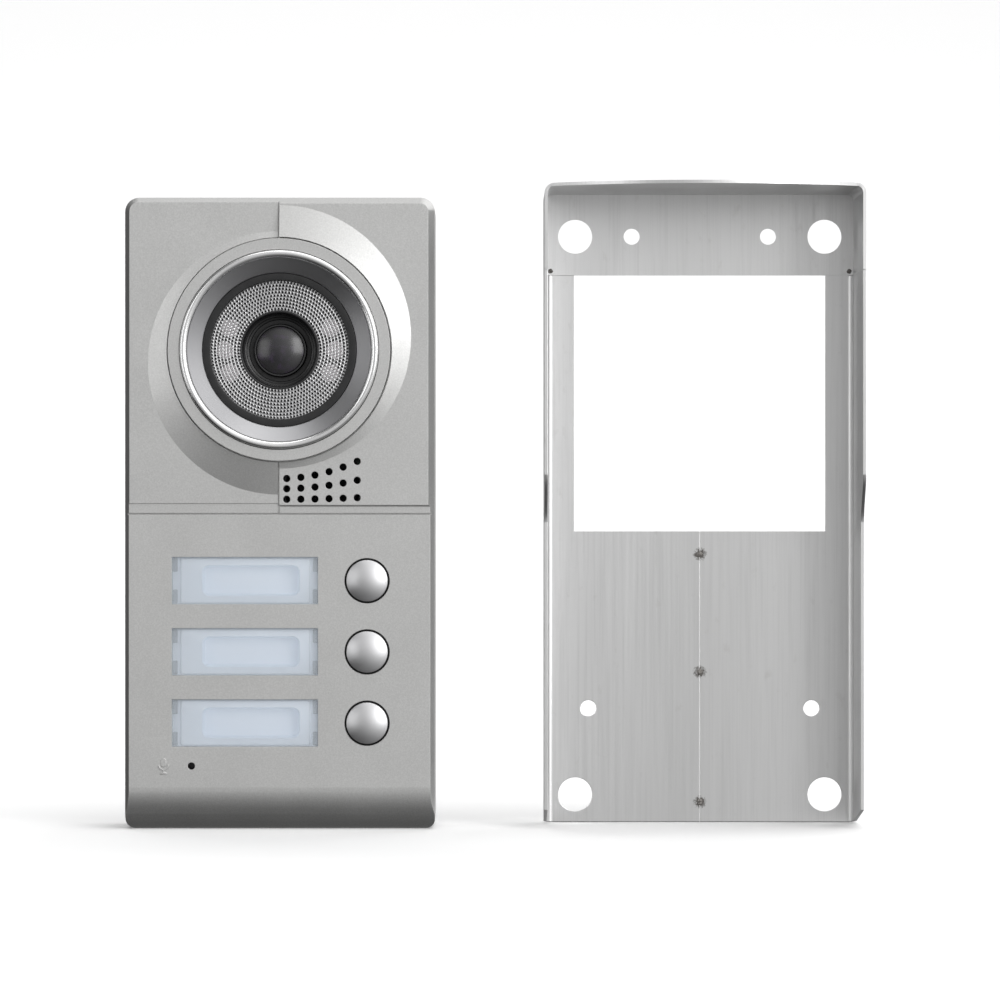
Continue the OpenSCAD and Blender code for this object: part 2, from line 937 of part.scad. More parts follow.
module microphone_boot()
    color("#1b1b1d")
        at_microphone()
            difference() {
                rod(boot_r, low_inner - 5, low_inner);
                rod(capsule_r + thread_gap, low_inner - 6, low_inner - 1.9);
                rod(sound_hole_r, low_inner - 2, low_inner + over);
            }

module microphone_capsule()
    color("#a9abad")
        at_microphone()
            rod(capsule_r, low_inner - 1.9 - capsule_h, low_inner - 1.9);

// ---- Rain hood ----

// Side view of a flange: deep beside the camera, an S-bend, shallow beside the buttons.
module flange_profile() {
    step = flange_d_high - flange_d_low;
    steps = 8;
    s_bend = [for (i = [0:steps])
        let (t = i / steps)
        [flange_d_low + step * (1 - cos(180 * t)) / 2, flange_s_up + flange_s * (2 * t - 1)]];
    polygon(concat([[-over, 0], [0, 0], [flange_d_low, flange_foot]], s_bend,
        [[flange_d_high, cap_low + over], [-over, cap_low + over]]));
}

// One folded half: a flange, the strip beside the window and half of the lower plate.
module hood_half()
    difference() {
        intersection() {
            rotate([90, 0, 0])
                mirror([0, 0, 1])
                    linear_extrude(cap_low) {
                        translate([-hood_w / 2, bend_outer_r])
                            square([sheet_t, flange_d_high]);
                        translate([-hood_w / 2 + bend_outer_r, 0])
                            square([hood_w / 2 - bend_outer_r - 0.05, sheet_t]);
                        intersection() {
                            translate([-hood_w / 2 + bend_outer_r, bend_outer_r])
                                difference() {
                                    circle(bend_outer_r);
                                    circle(bend_r);
                                }
                            translate([-hood_w / 2, 0])
                                square(bend_outer_r);
                        }
                    }
            across(2 * hood_w)
                flange_profile();
        }
        translate([-cable_window_w / 2, cable_window_low, -over])
            cube([cable_window_w, cable_window_h + over, sheet_t + 2 * over]);
        translate([-boss_x, boss_low, 0])
            rod(boss_hole_r, -over, sheet_t + over);
        translate([-wall_hole_low_w / 2, wall_hole_low_up, 0])
            rod(wall_hole_r, -over, sheet_t + over);
    }

module hood_left_half()
    color("#a9aaab")
        beside()
            hood_half();

module hood_right_half()
    color("#a9aaab")
        beside()
            mirror([1, 0, 0])
                hood_half();

// The cap: upper back plate, two cheeks and the visor, whose front edge bows out.
module hood_cap()
    color("#b1b2b3")
        beside()
            difference() {
                intersection() {
                    translate([0, cap_low, 0])
                        linear_extrude(flange_d_high + visor_bow)
                            rounded(hood_w, cap_h, 0.01, bend_outer_r);
                    translate([0, 0, flange_d_high + visor_bow - bow_r])
                        rotate([-90, 0, 0])
                            rod(bow_r, 0, hood_h + over);
                }
                translate([0, cap_low - over, sheet_t])
                    linear_extrude(flange_d_high + visor_bow)
                        rounded(hood_w - 2 * sheet_t, cap_h + over - sheet_t, 0.01, bend_r);
                for (side = [-1, 1]) {
                    translate([side * boss_x, boss_high, 0])
                        rod(boss_hole_r, -over, sheet_t + over);
                    translate([side * wall_hole_high_w / 2, boss_high, 0])
                        rod(wall_hole_r, -over, sheet_t + over);
                }
            }

module weld_bead(r, h)
    intersection() {
        translate([0, 0, sheet_t + h - r])
            sphere(r);
        rod(r, sheet_t, sheet_t + h);
    }

module hood_welds()
    color("#77736e")
        beside() {
            for (up = weld_spots)
                translate([0, up, 0])
                    weld_bead(1.8, 0.45);
            for (side = [-1, 1])
                translate([side * (hood_w / 2 - sheet_t - 1.3), cap_low + 1.3, 0])
                    weld_bead(1.2, 0.9);
        }

front_housing();
camera_bezel();
lamp_ring();
lamp_mesh();
camera_shroud();
lens_barrel();
lens_glass();
lens_holder();
image_sensor();
camera_board();
camera_board_screws();
infrared_board();
infrared_lamps();
name_window(rows[0]);  // name_window_top
name_window(rows[1]);  // name_window_middle
name_window(rows[2]);  // name_window_bottom
name_tray(rows[0]);  // name_tray_top
name_tray(rows[1]);  // name_tray_middle
name_tray(rows[2]);  // name_tray_bottom
call_button(rows[0]);  // call_button_top
call_button(rows[1]);  // call_button_middle
call_button(rows[2]);  // call_button_bottom
button_spring(rows[0]);  // button_spring_top
button_spring(rows[1]);  // button_spring_middle
button_spring(rows[2]);  // button_spring_bottom
button_carrier();
tact_switches();
main_board();
main_board_screws();
main_processor();
backlight_lamps();
ribbon_cable();
speaker_gasket();
speaker_basket();
speaker_cone();
speaker_magnet();
microphone_capsule();
microphone_boot();
rear_cover();
case_screws();
housing_seal();
terminal_block();
terminal_screws();
hood_left_half();
hood_right_half();
hood_cap();
hood_welds();
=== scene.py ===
import json
import math

import bmesh
import bpy
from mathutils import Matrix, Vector, noise


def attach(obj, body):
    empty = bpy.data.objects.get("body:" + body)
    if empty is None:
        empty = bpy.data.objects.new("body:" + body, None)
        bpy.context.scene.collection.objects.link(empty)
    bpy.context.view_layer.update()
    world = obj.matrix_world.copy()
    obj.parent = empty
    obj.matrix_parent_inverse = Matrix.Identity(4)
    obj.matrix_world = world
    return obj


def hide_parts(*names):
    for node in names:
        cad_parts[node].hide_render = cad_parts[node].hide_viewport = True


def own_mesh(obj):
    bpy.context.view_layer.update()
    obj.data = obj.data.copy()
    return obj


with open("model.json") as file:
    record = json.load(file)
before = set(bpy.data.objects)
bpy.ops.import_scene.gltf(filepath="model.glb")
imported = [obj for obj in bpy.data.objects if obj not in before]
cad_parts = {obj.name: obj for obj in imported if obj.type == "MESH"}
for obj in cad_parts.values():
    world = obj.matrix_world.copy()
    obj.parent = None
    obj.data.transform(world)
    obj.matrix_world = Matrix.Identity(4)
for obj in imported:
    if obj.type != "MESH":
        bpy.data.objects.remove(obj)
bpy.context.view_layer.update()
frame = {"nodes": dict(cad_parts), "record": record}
scene = bpy.context.scene
record = frame["record"]
body_of = {n: b for b, names in record["behaviour"]["bodies"].items() for n in names}
slot_of = {s["node"]: s["material_slot"] for s in record["subparts"]}

# ---- Sizes of the design, in millimetres: x to the right, up from the underside, out from the wall ----

MM = 0.001
PATTERN_UP = 99.0
FLOOR_Z = -PATTERN_UP * MM

# The housing: its groove, and the bounds of its front.
GROOVE_UP = 99.6
CHIN_UP = 14.0
FACE_TOP_UP = 197.2
FACE_HALF_W = 46.6
FACE_OUT_MIN = 30.0

# The camera. The first seven are distances out from the wall, from the rim inwards.
RIM_FACE = 42.1
MESH_OUT = 36.7
MESH_FLAT = 36.58
BEZEL_SEAT = 33.0
LENS_FRONT = 32.5
COLLAR = 31.5
LAMP_BOARD = 30.3
CAMERA_UP = 151.3
CONE_R = 28.85
CONE_DEPTH = 3.2
MESH_R = 21.95
MESH_T = 0.45
SHROUD_R = 12.4
MESH_INNER = SHROUD_R + 0.05
GLASS_R = 7.4
GLASS_BULGE = 1.7
GLASS_APEX = LENS_FRONT + GLASS_BULGE
LAMP_CIRCLE = 17.4
LAMP_ANGLES = [side + step for side in (0, 180) for step in (-24, 0, 24)]

# The rows of call buttons and name windows.
ROWS = {"top": 78.55, "middle": 56.1, "bottom": 33.65}
BUTTON_X = 27.6
BUTTON_R = 6.5
CAP_TOP = 37.6
CAP_INSIDE = 36.0
DOME_H = 1.5
STEM_END = 26.95
WINDOW_X = -10.95
WINDOW_W = 45.9
WINDOW_H = 14.7
WINDOW_FRONT = 36.5
TRAY_FRONT = 34.6
TRAY_FLOOR = 29.7

# The hood.
HOOD_X = 134.0
HOOD_W = 101.0
CAP_LOW = 176.5
HOOD_SHEET = 1.0
WELD_SPOTS = [CAP_LOW - 90.0, CAP_LOW - 128.0, 6.6]


def at(x, up, out):
    """A point of the design, in the row frame, in metres."""
    return Vector((x * MM, -out * MM, (up - PATTERN_UP) * MM))


# ---- Camera, light and stage ----

view = bpy.data.objects.new("view_camera", bpy.data.cameras.new("view_camera"))
scene.collection.objects.link(view)
view.location = (0.0695, -1.538, 0.005)
view.rotation_euler = (math.pi / 2, 0, 0)
view.data.sensor_width = 36
view.data.lens = 171.43
view.data.clip_start = 0.01
view.data.clip_end = 50
scene.camera = view
scene.view_settings.view_transform = "Standard"


def softbox(name, place, aim, wide, high, radiance, glossy=True):
    """A rectangular studio light that shines from a point towards another. It isn't seen itself."""
    data = bpy.data.lights.new(name, "AREA")
    data.shape = "RECTANGLE"
    data.size = wide
    data.size_y = high
    data.energy = radiance * math.pi * wide * high
    light = bpy.data.objects.new(name, data)
    scene.collection.objects.link(light)
    light.location = place
    light.rotation_euler = (Vector(aim) - Vector(place)).to_track_quat("-Z", "Y").to_euler()
    light.visible_camera = False
    light.visible_glossy = glossy


AIM = (0.06, 0, 0.0)
softbox("key_right", (1.35, -1.75, 0.55), AIM, 0.9, 1.3, 3.6)
softbox("fill_left", (-1.3, -1.7, 0.3), AIM, 0.9, 1.4, 1.5)
softbox("top_light", (0.1, -0.6, 1.8), AIM, 1.6, 0.7, 1.6)
softbox("side_left", (-2.0, -0.8, 0.1), AIM, 0.9, 1.8, 0.95)
softbox("back_light", (0.06, 1.2, 1.55), AIM, 2.2, 0.8, 2.4, False)

world = bpy.data.worlds.new("studio")
scene.world = world
world.use_nodes = True
wt = world.node_tree
background = wt.nodes["Background"]
coords = wt.nodes.new("ShaderNodeTexCoord")
split = wt.nodes.new("ShaderNodeSeparateXYZ")
wt.links.new(coords.outputs["Generated"], split.inputs[0])


def world_range(source, start, low, high):
    """The sky's strength along an axis: low up to the start, then rising smoothly to high at 0.6."""
    node = wt.nodes.new("ShaderNodeMapRange")
    node.interpolation_type = "SMOOTHSTEP"
    node.inputs["From Min"].default_value = start
    node.inputs["From Max"].default_value = 0.6
    node.inputs["To Min"].default_value = low
    node.inputs["To Max"].default_value = high
    wt.links.new(source, node.inputs["Value"])
    return node.outputs["Result"]


product = wt.nodes.new("ShaderNodeMath")
product.operation = "MULTIPLY"
wt.links.new(world_range(split.outputs["Z"], -0.95, 0.08, 0.86), product.inputs[0])
wt.links.new(world_range(split.outputs["X"], -0.85, 0.08, 1.6), product.inputs[1])
wt.links.new(product.outputs[0], background.inputs["Strength"])
background.inputs["Color"].default_value = (1, 1, 1, 1)


def stage():
    """A white floor that curves up into a backdrop."""
    steps = 24
    front, behind, bend, top, half_wide = -2.4, 1.0, 1.0, 3.0, 3.5
    line = [(front, FLOOR_Z), (behind, FLOOR_Z)]
    for i in range(1, steps + 1):
        turn = math.pi / 2 * i / steps
        line.append((behind + bend * math.sin(turn), FLOOR_Z + bend - bend * math.cos(turn)))
    line.append((behind + bend, top))
    verts = [(x, y, z) for y, z in line for x in (-half_wide, half_wide)]
    faces = [(2 * i, 2 * i + 1, 2 * i + 3, 2 * i + 2) for i in range(len(line) - 1)]
    mesh = bpy.data.meshes.new("studio_floor")
    mesh.from_pydata(verts, [], faces)
    mesh.shade_smooth()
    floor = bpy.data.objects.new("studio_floor", mesh)
    scene.collection.objects.link(floor)
    floor.visible_glossy = False
    floor.visible_diffuse = False
    mat = bpy.data.materials.new("studio_white")
    mat.use_nodes = True
    shader = mat.node_tree.nodes["Principled BSDF"]
    shader.inputs["Base Color"].default_value = (0.92, 0.92, 0.92, 1)
    shader.inputs["Roughness"].default_value = 0.9
    shader.inputs["Specular IOR Level"].default_value = 0.0
    shader.inputs["Emission Color"].default_value = (1, 1, 1, 1)
    shader.inputs["Emission Strength"].default_value = 0.05
    mesh.materials.append(mat)


stage()

# ---- Materials ----


class Surface:
    """A node material: base colour, roughness and relief that vary with procedural noise."""

    def __init__(self, name, base, metallic=0.0, roughness=0.5, **sockets):
        self.mat = bpy.data.materials.new(name)
        self.mat.use_nodes = True
        self.tree = self.mat.node_tree
        self.shader = self.tree.nodes["Principled BSDF"]
        self.base = base
        self.coords = self.add("ShaderNodeTexCoord").outputs["Object"]
        self.color = None
        self.height = None
        self.set("Base Color", (*base, 1))
        self.set("Metallic", metallic)
        self.set("Roughness", roughness)
        for key, value in sockets.items():
            self.set(key.replace("_", " "), value)

    def add(self, kind, **values):
        node = self.tree.nodes.new(kind)
        for key, value in values.items():
            setattr(node, key, value)
        return node

    def set(self, socket, value):
        self.shader.inputs[socket].default_value = value

    def link(self, source, target):
        self.tree.links.new(source, target)

    def noise(self, scale, stretch=(1, 1, 1), detail=3.0, shift=(0, 0, 0)):
        """Noise from 0 to 1, with scale cycles a metre, stretched along an axis by a small factor."""
        mapping = self.add("ShaderNodeMapping")
        mapping.inputs["Scale"].default_value = stretch
        mapping.inputs["Location"].default_value = shift
        self.link(self.coords, mapping.inputs["Vector"])
        texture = self.add("ShaderNodeTexNoise")
        texture.inputs["Scale"].default_value = scale
        texture.inputs["Detail"].default_value = detail
        self.link(mapping.outputs[0], texture.inputs["Vector"])
        return texture.outputs["Fac"]

    def spread(self, value, low, high, start=0.3, end=0.7):
        """Maps a value from the range start to end onto low to high."""
        node = self.add("ShaderNodeMapRange")
        node.inputs["From Min"].default_value = start
        node.inputs["From Max"].default_value = end
        node.inputs["To Min"].default_value = low
        node.inputs["To Max"].default_value = high
        self.link(value, node.inputs["Value"])
        return node.outputs["Result"]

    def rough(self, value, low, high):
        """Lets the roughness vary with a value."""
        self.link(self.spread(value, low, high), self.shader.inputs["Roughness"])
        return self

    def tint(self, value, color, amount=1.0, start=0.3, end=0.7):
        """Mixes another colour in where the value is high."""
        mix = self.add("ShaderNodeMix", data_type="RGBA")
        self.link(self.spread(value, 0.0, amount, start, end), mix.inputs["Factor"])
        if self.color is None:
            mix.inputs["A"].default_value = (*self.base, 1)
        else:
            self.link(self.color, mix.inputs["A"])
        mix.inputs["B"].default_value = (*color, 1)
        self.color = mix.outputs["Result"]
        self.link(self.color, self.shader.inputs["Base Color"])
        return self

    def relief(self, value, depth_mm, strength=1.0):
        """Adds relief of a depth in millimetres."""
        bump = self.add("ShaderNodeBump")
        bump.inputs["Strength"].default_value = strength
        bump.inputs["Distance"].default_value = depth_mm * MM
        self.link(value, bump.inputs["Height"])
        if self.height is not None:
            self.link(self.height, bump.inputs["Normal"])
        self.height = bump.outputs["Normal"]
        self.link(self.height, self.shader.inputs["Normal"])
        return self

    def soft_edges(self, radius_mm):
        """Shades the edges as if they were rounded. It comes before any relief."""
        bevel = self.add("ShaderNodeBevel", samples=4)
        bevel.inputs["Radius"].default_value = radius_mm * MM
        self.height = bevel.outputs["Normal"]
        return self

    def radial(self, x, up):
        """The distance in metres from an axis that points out from the wall."""
        shift = self.add("ShaderNodeVectorMath", operation="SUBTRACT")
        shift.inputs[1].default_value = at(x, up, 0)
        self.link(self.coords, shift.inputs[0])
        flat = self.add("ShaderNodeVectorMath", operation="MULTIPLY")
        flat.inputs[1].default_value = (1, 0, 1)
        self.link(shift.outputs[0], flat.inputs[0])
        length = self.add("ShaderNodeVectorMath", operation="LENGTH")
        self.link(flat.outputs[0], length.inputs[0])
        return length.outputs["Value"]

    def rings(self, x, up, scale):
        """Fine uneven rings about an axis that points out from the wall, with scale rings a metre."""
        texture = self.add("ShaderNodeTexNoise", noise_dimensions="1D")
        texture.inputs["Scale"].default_value = scale
        texture.inputs["Detail"].default_value = 2.0
        self.link(self.radial(x, up), texture.inputs["W"])
        return texture.outputs["Fac"]


def silver_paint():
    """Metallic paint with fine flakes and a slight orange-peel relief."""
    s = Surface("silver_paint", (0.62, 0.62, 0.612), 0.85, 0.40, Coat_Weight=0.15, Coat_Roughness=0.3)
    s.tint(s.noise(2300, detail=2), (0.72, 0.72, 0.712), 0.6, 0.42, 0.66)
    s.tint(s.noise(1900, detail=2, shift=(3, 1, 2)), (0.52, 0.52, 0.512), 0.4, 0.52, 0.72)
    s.rough(s.noise(60), 0.37, 0.43)
    s.soft_edges(0.22)
    s.relief(s.noise(2600, detail=2), 0.008)
    return s.relief(s.noise(140, detail=2), 0.012, 0.5)


def chrome(name, base, low, high):
    """Satin chrome that is slightly cloudy."""
    s = Surface(name, base, 1.0, low)
    s.rough(s.noise(220, detail=4), low, high)
    s.tint(s.noise(45), tuple(c * 0.9 for c in base), 0.6)
    return s.relief(s.noise(2400), 0.0006)


def bezel_chrome():
    """Bright on the rim and satin in the cone, with fine turning marks. The cone's darker colour is painted
    shade.
    """
    s = Surface("bezel_chrome", (0.44, 0.44, 0.45), 1.0, 0.3)
    distance = s.radial(0, CAMERA_UP)
    cone, rim = (CONE_R - 0.05) * MM, (CONE_R + 0.35) * MM
    s.tint(s.noise(45), (0.40, 0.40, 0.41), 0.6)
    # Painted shade: the cone keeps a darker colour than the rim, standing for the darker reflections seen in
    # it.
    s.tint(distance, (0.84, 0.84, 0.84), 1.0, cone, rim)
    s.link(s.spread(distance, 0.45, 0.20, cone, rim), s.shader.inputs["Roughness"])
    return s.relief(s.rings(0, CAMERA_UP, 5200), 0.001)


def stainless():
    """Brushed sheet steel, streaked up and down, with heat marks and spatter round the spot welds."""
    s = Surface("stainless", (0.66, 0.66, 0.658), 1.0, 0.38, Anisotropic=0.35)
    s.tint(s.noise(17, (1, 1, 0.12), 1), (0.76, 0.76, 0.76), 0.9, 0.35, 0.65)
    s.tint(s.noise(1500, (1, 1, 0.02), 2), (0.58, 0.58, 0.578), 0.35, 0.45, 0.75)
    s.tint(s.noise(330, (1, 1, 0.6), 5), (0.50, 0.49, 0.475), 0.3, 0.64, 0.8)
    for i, up in enumerate(WELD_SPOTS):
        speckle = s.add("ShaderNodeMath", operation="MULTIPLY")
        s.link(s.spread(s.radial(HOOD_X, up), 1.0, 0.0, 1.0 * MM, 3.4 * MM), speckle.inputs[0])
        s.link(s.noise(1700, (1, 1, 1), 2, (i, 0, i)), speckle.inputs[1])
        s.tint(speckle.outputs[0], (0.10, 0.09, 0.08), 0.9, 0.24, 0.5)
    s.rough(s.noise(900, (1, 1, 0.02), 3), 0.29, 0.37)
    return s.relief(s.noise(2200, (1, 1, 0.015), 2), 0.004)


def plain(name, base, metallic=0.0, low=0.45, high=0.6, grain=900, depth=0.01, worn=None, **sockets):
    """A moulded, cast or coated surface with fine grain and slight unevenness of colour."""
    s = Surface(name, base, metallic, (low + high) / 2, **sockets)
    s.tint(s.noise(grain * 0.2), worn or tuple(min(1, c * 1.25 + 0.01) for c in base), 0.5, 0.4, 0.75)
    s.rough(s.noise(grain * 0.5), low, high)
    return s.relief(s.noise(grain), depth)


def circuit_board(name, base, trace, fill):
    """Solder mask over traces and copper fill."""
    s = Surface(name, base, 0.0, 0.35, Coat_Weight=0.5, Coat_Roughness=0.2)
    s.tint(s.noise(420, detail=1), trace, 0.9, 0.49, 0.52)
    s.tint(s.noise(150, detail=0), fill, 0.8, 0.58, 0.6)
    s.rough(s.noise(500), 0.3, 0.45)
    return s.relief(s.noise(420, detail=1), 0.03)


def clear_plastic():
    """Clear where it is seen straight on, and denser at a slant."""
    s = Surface("clear_plastic", (0.86, 0.90, 0.93), 0.0, 0.04, IOR=1.49)
    s.rough(s.noise(160), 0.03, 0.09)
    facing = s.add("ShaderNodeLayerWeight")
    facing.inputs["Blend"].default_value = 0.35
    s.link(s.spread(facing.outputs["Fresnel"], 0.10, 0.75, 0.0, 0.6), s.shader.inputs["Alpha"])
    return s.relief(s.noise(90, detail=1), 0.01)


def lens_glass():
    """Dark coated glass with a painted violet reflection and a painted lighter outer zone."""
    s = Surface("lens_glass", (0.016, 0.015, 0.019), 0.0, 0.28, Coat_Weight=0.5, Coat_Roughness=0.2)
    # Painted light: the glass turns lighter towards its outer edge.
    s.tint(s.radial(0, CAMERA_UP), (0.030, 0.029, 0.031), 1.0, 3.2 * MM, 5.6 * MM)
    # Painted reflection: a faint violet cast that stands for the coating's reflection.
    s.tint(s.noise(500, detail=1), (0.045, 0.03, 0.06), 0.6, 0.5, 0.7)
    s.rough(s.noise(400), 0.22, 0.3)
    return s.relief(s.noise(300, detail=1), 0.001)


MATERIALS = {
    "silver_paint": silver_paint(),
    "bezel_chrome": bezel_chrome(),
    "button_chrome": chrome("button_chrome", (0.66, 0.66, 0.67), 0.38, 0.44),
    "stainless": stainless(),
    "weld_metal": plain("weld_metal", (0.30, 0.285, 0.27), 0.9, 0.4, 0.7, 1500, 0.06, (0.12, 0.11, 0.10)),
    "black_plastic": plain("black_plastic", (0.012, 0.012, 0.013), 0, 0.28, 0.42, 1500, 0.006),
    "cover_plastic": plain("cover_plastic", (0.035, 0.036, 0.038), 0, 0.5, 0.68, 1100, 0.05),
    "mesh_metal": plain("mesh_metal", (0.52, 0.52, 0.525), 1.0, 0.28, 0.4, 1600, 0.001),
    "clear_plastic": clear_plastic(),
    # Painted light: the milky trays glow faintly, standing for light passing through them.
    "milky_plastic": plain("milky_plastic", (0.84, 0.89, 0.96), 0, 0.35, 0.5, 60, 0.0,
                           (0.88, 0.93, 0.98), Emission_Color=(0.80, 0.87, 0.97, 1), Emission_Strength=0.12),
    "lens_glass": lens_glass(),
    "lamp_epoxy": plain("lamp_epoxy", (0.75, 0.72, 0.76), 0, 0.1, 0.2, 700, 0.004,
                        Emission_Color=(1, 0.93, 0.96, 1), Emission_Strength=0.3),
    "circuit_board": circuit_board("circuit_board", (0.012, 0.085, 0.035), (0.02, 0.15, 0.06),
                                   (0.03, 0.2, 0.09)),
    "circuit_board_black": circuit_board("circuit_board_black", (0.01, 0.01, 0.011), (0.02, 0.02, 0.021),
                                         (0.03, 0.03, 0.031)),
    "chip_epoxy": plain("chip_epoxy", (0.02, 0.02, 0.022), 0, 0.5, 0.65, 2200, 0.01),
    "lamp_chip": plain("lamp_chip", (0.85, 0.80, 0.45), 0, 0.3, 0.45, 1200, 0.01),
    "ribbon": plain("ribbon", (0.72, 0.71, 0.66), 0, 0.4, 0.5, 1800, 0.02),
    "screw_steel": plain("screw_steel", (0.58, 0.58, 0.59), 1.0, 0.25, 0.4, 1400, 0.008),
    "spring_steel": plain("spring_steel", (0.50, 0.51, 0.53), 1.0, 0.25, 0.38, 1800, 0.004),
    "seal_rubber": plain("seal_rubber", (0.02, 0.02, 0.021), 0, 0.7, 0.85, 1500, 0.03),
    "foam": plain("foam", (0.03, 0.031, 0.033), 0, 0.85, 0.95, 2200, 0.12),
    "pressed_steel": plain("pressed_steel", (0.05, 0.05, 0.053), 0.6, 0.4, 0.55, 1300, 0.01),
    "paper_cone": plain("paper_cone", (0.035, 0.035, 0.038), 0, 0.8, 0.92, 1900, 0.06),
    "terminal_plastic": plain("terminal_plastic", (0.03, 0.20, 0.07), 0, 0.4, 0.55, 1000, 0.02),
}

# ---- Making pieces ----


def finish_mesh(mesh, sharp=32):
    """Smooth shading that stays sharp where the faces turn by more than an angle."""
    mesh.shade_smooth()
    mesh.set_sharp_from_angle(angle=math.radians(sharp))


def add_piece(name, body, slot, verts, faces, replaced=(), sharp=32):
    """A new piece from points and faces, which rides on a body and stands for CAD nodes."""
    mesh = bpy.data.meshes.new(name)
    mesh.from_pydata([tuple(v) for v in verts], [], faces)
    bm = bmesh.new()
    bm.from_mesh(mesh)
    bmesh.ops.remove_doubles(bm, verts=bm.verts, dist=1e-7)
    bmesh.ops.recalc_face_normals(bm, faces=bm.faces)
    bm.to_mesh(mesh)
    bm.free()
    finish_mesh(mesh, sharp)
    mesh.materials.append(MATERIALS[slot].mat)
    obj = bpy.data.objects.new(name, mesh)
    scene.collection.objects.link(obj)
    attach(obj, body)
    if replaced:
        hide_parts(*replaced)
    return obj


def soften(obj, width, segments=2, angle=12, chosen=False):
    """Rounds every edge that turns by more than an angle, or the edges chosen by weight."""
    bevel = obj.modifiers.new("soft_edges", "BEVEL")
    bevel.width = width * MM
    bevel.segments = segments
    bevel.limit_method = "WEIGHT" if chosen else "ANGLE"
    bevel.angle_limit = math.radians(angle)
    bevel.use_clamp_overlap = True
    bevel.miter_outer = "MITER_ARC"
    normals = obj.modifiers.new("even_normals", "WEIGHTED_NORMAL")
    normals.keep_sharp = True
    return obj


SQUARE_ON = 0.9999
FLAT_AREA = 20 * MM * MM


def refine(node, width, segments=2, angle=12, sharp=40, name=None):
    """A finer copy of a CAD node that stands for it, with its edges rounded to a width in millimetres.

    Faces square to the axes are shaded flat: front and back ones always, others where they are large."""
    mesh = frame["nodes"][node].data.copy()
    mesh.name = name or node + "_fine"
    bm = bmesh.new()
    bm.from_mesh(mesh)
    bmesh.ops.remove_doubles(bm, verts=bm.verts, dist=2e-7)
    bmesh.ops.dissolve_degenerate(bm, edges=bm.edges, dist=1e-7)
    bmesh.ops.recalc_face_normals(bm, faces=bm.faces)
    bm.to_mesh(mesh)
    bm.free()
    finish_mesh(mesh, sharp)
    for face in mesh.polygons:
        x, y, z = (abs(v) > SQUARE_ON for v in face.normal)
        if y or ((x or z) and face.area > FLAT_AREA):
            face.use_smooth = False
    mesh.materials.clear()
    slot = slot_of[node]
    mesh.materials.append(MATERIALS[slot].mat)
    obj = bpy.data.objects.new(mesh.name, mesh)
    scene.collection.objects.link(obj)
    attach(obj, body_of[node])
    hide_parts(node)
    if width:
        soften(obj, width, segments, angle)
    return obj


def arc(center, radius, start, end, steps):
    """Points of an arc in a profile, from one angle to another in degrees."""
    turns = [math.radians(start + (end - start) * i / steps) for i in range(steps + 1)]
    return [(center[0] + radius * math.cos(t), center[1] + radius * math.sin(t)) for t in turns]


def rounded(points, radius, steps=4, closed=True):
    """The profile with its corners rounded. A point with a third number has its own radius."""
    out = []
    count = len(points)
    for i, p in enumerate(points):
        r = p[2] if len(p) > 2 else radius
        ends = not closed and i in (0, count - 1)
        if r <= 0 or ends:
            out.append((p[0], p[1]))
            continue
        corner = Vector(p[:2])
        before = Vector(points[i - 1][:2]) - corner
        after = Vector(points[(i + 1) % count][:2]) - corner
        reach = min(r, before.length * 0.45, after.length * 0.45)
        a = corner + before.normalized() * reach
        b = corner + after.normalized() * reach
        for k in range(steps + 1):
            t = k / steps
            q = a * (1 - t) ** 2 + corner * 2 * t * (1 - t) + b * t ** 2
            out.append((q.x, q.y))
    return out


ON_AXIS = 1e-6


def turned(profile, x, up, segments=128, closed=True):
    """Points and faces of a profile of (radius, out) points turned about an axis out from the wall."""
    verts, faces, rings = [], [], []
    for r, out in profile:
        if r < ON_AXIS:
            rings.append([len(verts)] * segments)
            verts.append(at(x, up, out))
        else:
            rings.append(list(range(len(verts), len(verts) + segments)))
            for k in range(segments):
                t = 2 * math.pi * k / segments
                verts.append(at(x + r * math.cos(t), up + r * math.sin(t), out))
    pairs = list(zip(rings, rings[1:]))
    if closed and profile[0][0] > ON_AXIS:
        pairs.append((rings[-1], rings[0]))
    for a, b in pairs:
        for k in range(segments):
            n = (k + 1) % segments
            ring = []
            for v in (a[k], a[n], b[n], b[k]):
                if v not in ring:
                    ring.append(v)
            if len(ring) > 2:
                faces.append(ring)
    return verts, faces


def joined(parts):
    """Several (points, faces) as one."""
    verts, faces = [], []
    for v, f in parts:
        base = len(verts)
        verts += v
        faces += [[i + base for i in face] for face in f]
    return verts, faces


def lathe(name, body, slot, profile, x, up, replaced=(), segments=128, closed=True, sharp=32):
    """A new piece that is a profile turned about an axis out from the wall."""
    verts, faces = turned(profile, x, up, segments, closed)
    return add_piece(name, body, slot, verts, faces, replaced, sharp)


# ---- Camera ----

bezel = rounded([
    (24.3, COLLAR), (25.9, COLLAR), (25.9, BEZEL_SEAT), (31.3, BEZEL_SEAT), (31.3, RIM_FACE - 0.9),
], 0.15, closed=False)
bezel += [(31.22, RIM_FACE - 0.45), (30.95, RIM_FACE - 0.15), (30.5, RIM_FACE), (29.95, RIM_FACE - 0.04)]
bezel += [(29.45, RIM_FACE - 0.22), (29.1, RIM_FACE - 0.55), (28.9, RIM_FACE - 0.95)]
bezel += [(CONE_R - 4.3 * t, RIM_FACE - 1.1 - CONE_DEPTH * t) for t in (0, 0.25, 0.5, 0.75, 1)]
bezel += [(24.4, MESH_OUT + 0.98), (24.3, MESH_OUT + 0.75)]
lathe("camera_bezel_ring", "panel", "bezel_chrome", bezel, 0, CAMERA_UP, ["camera_bezel"], 192)

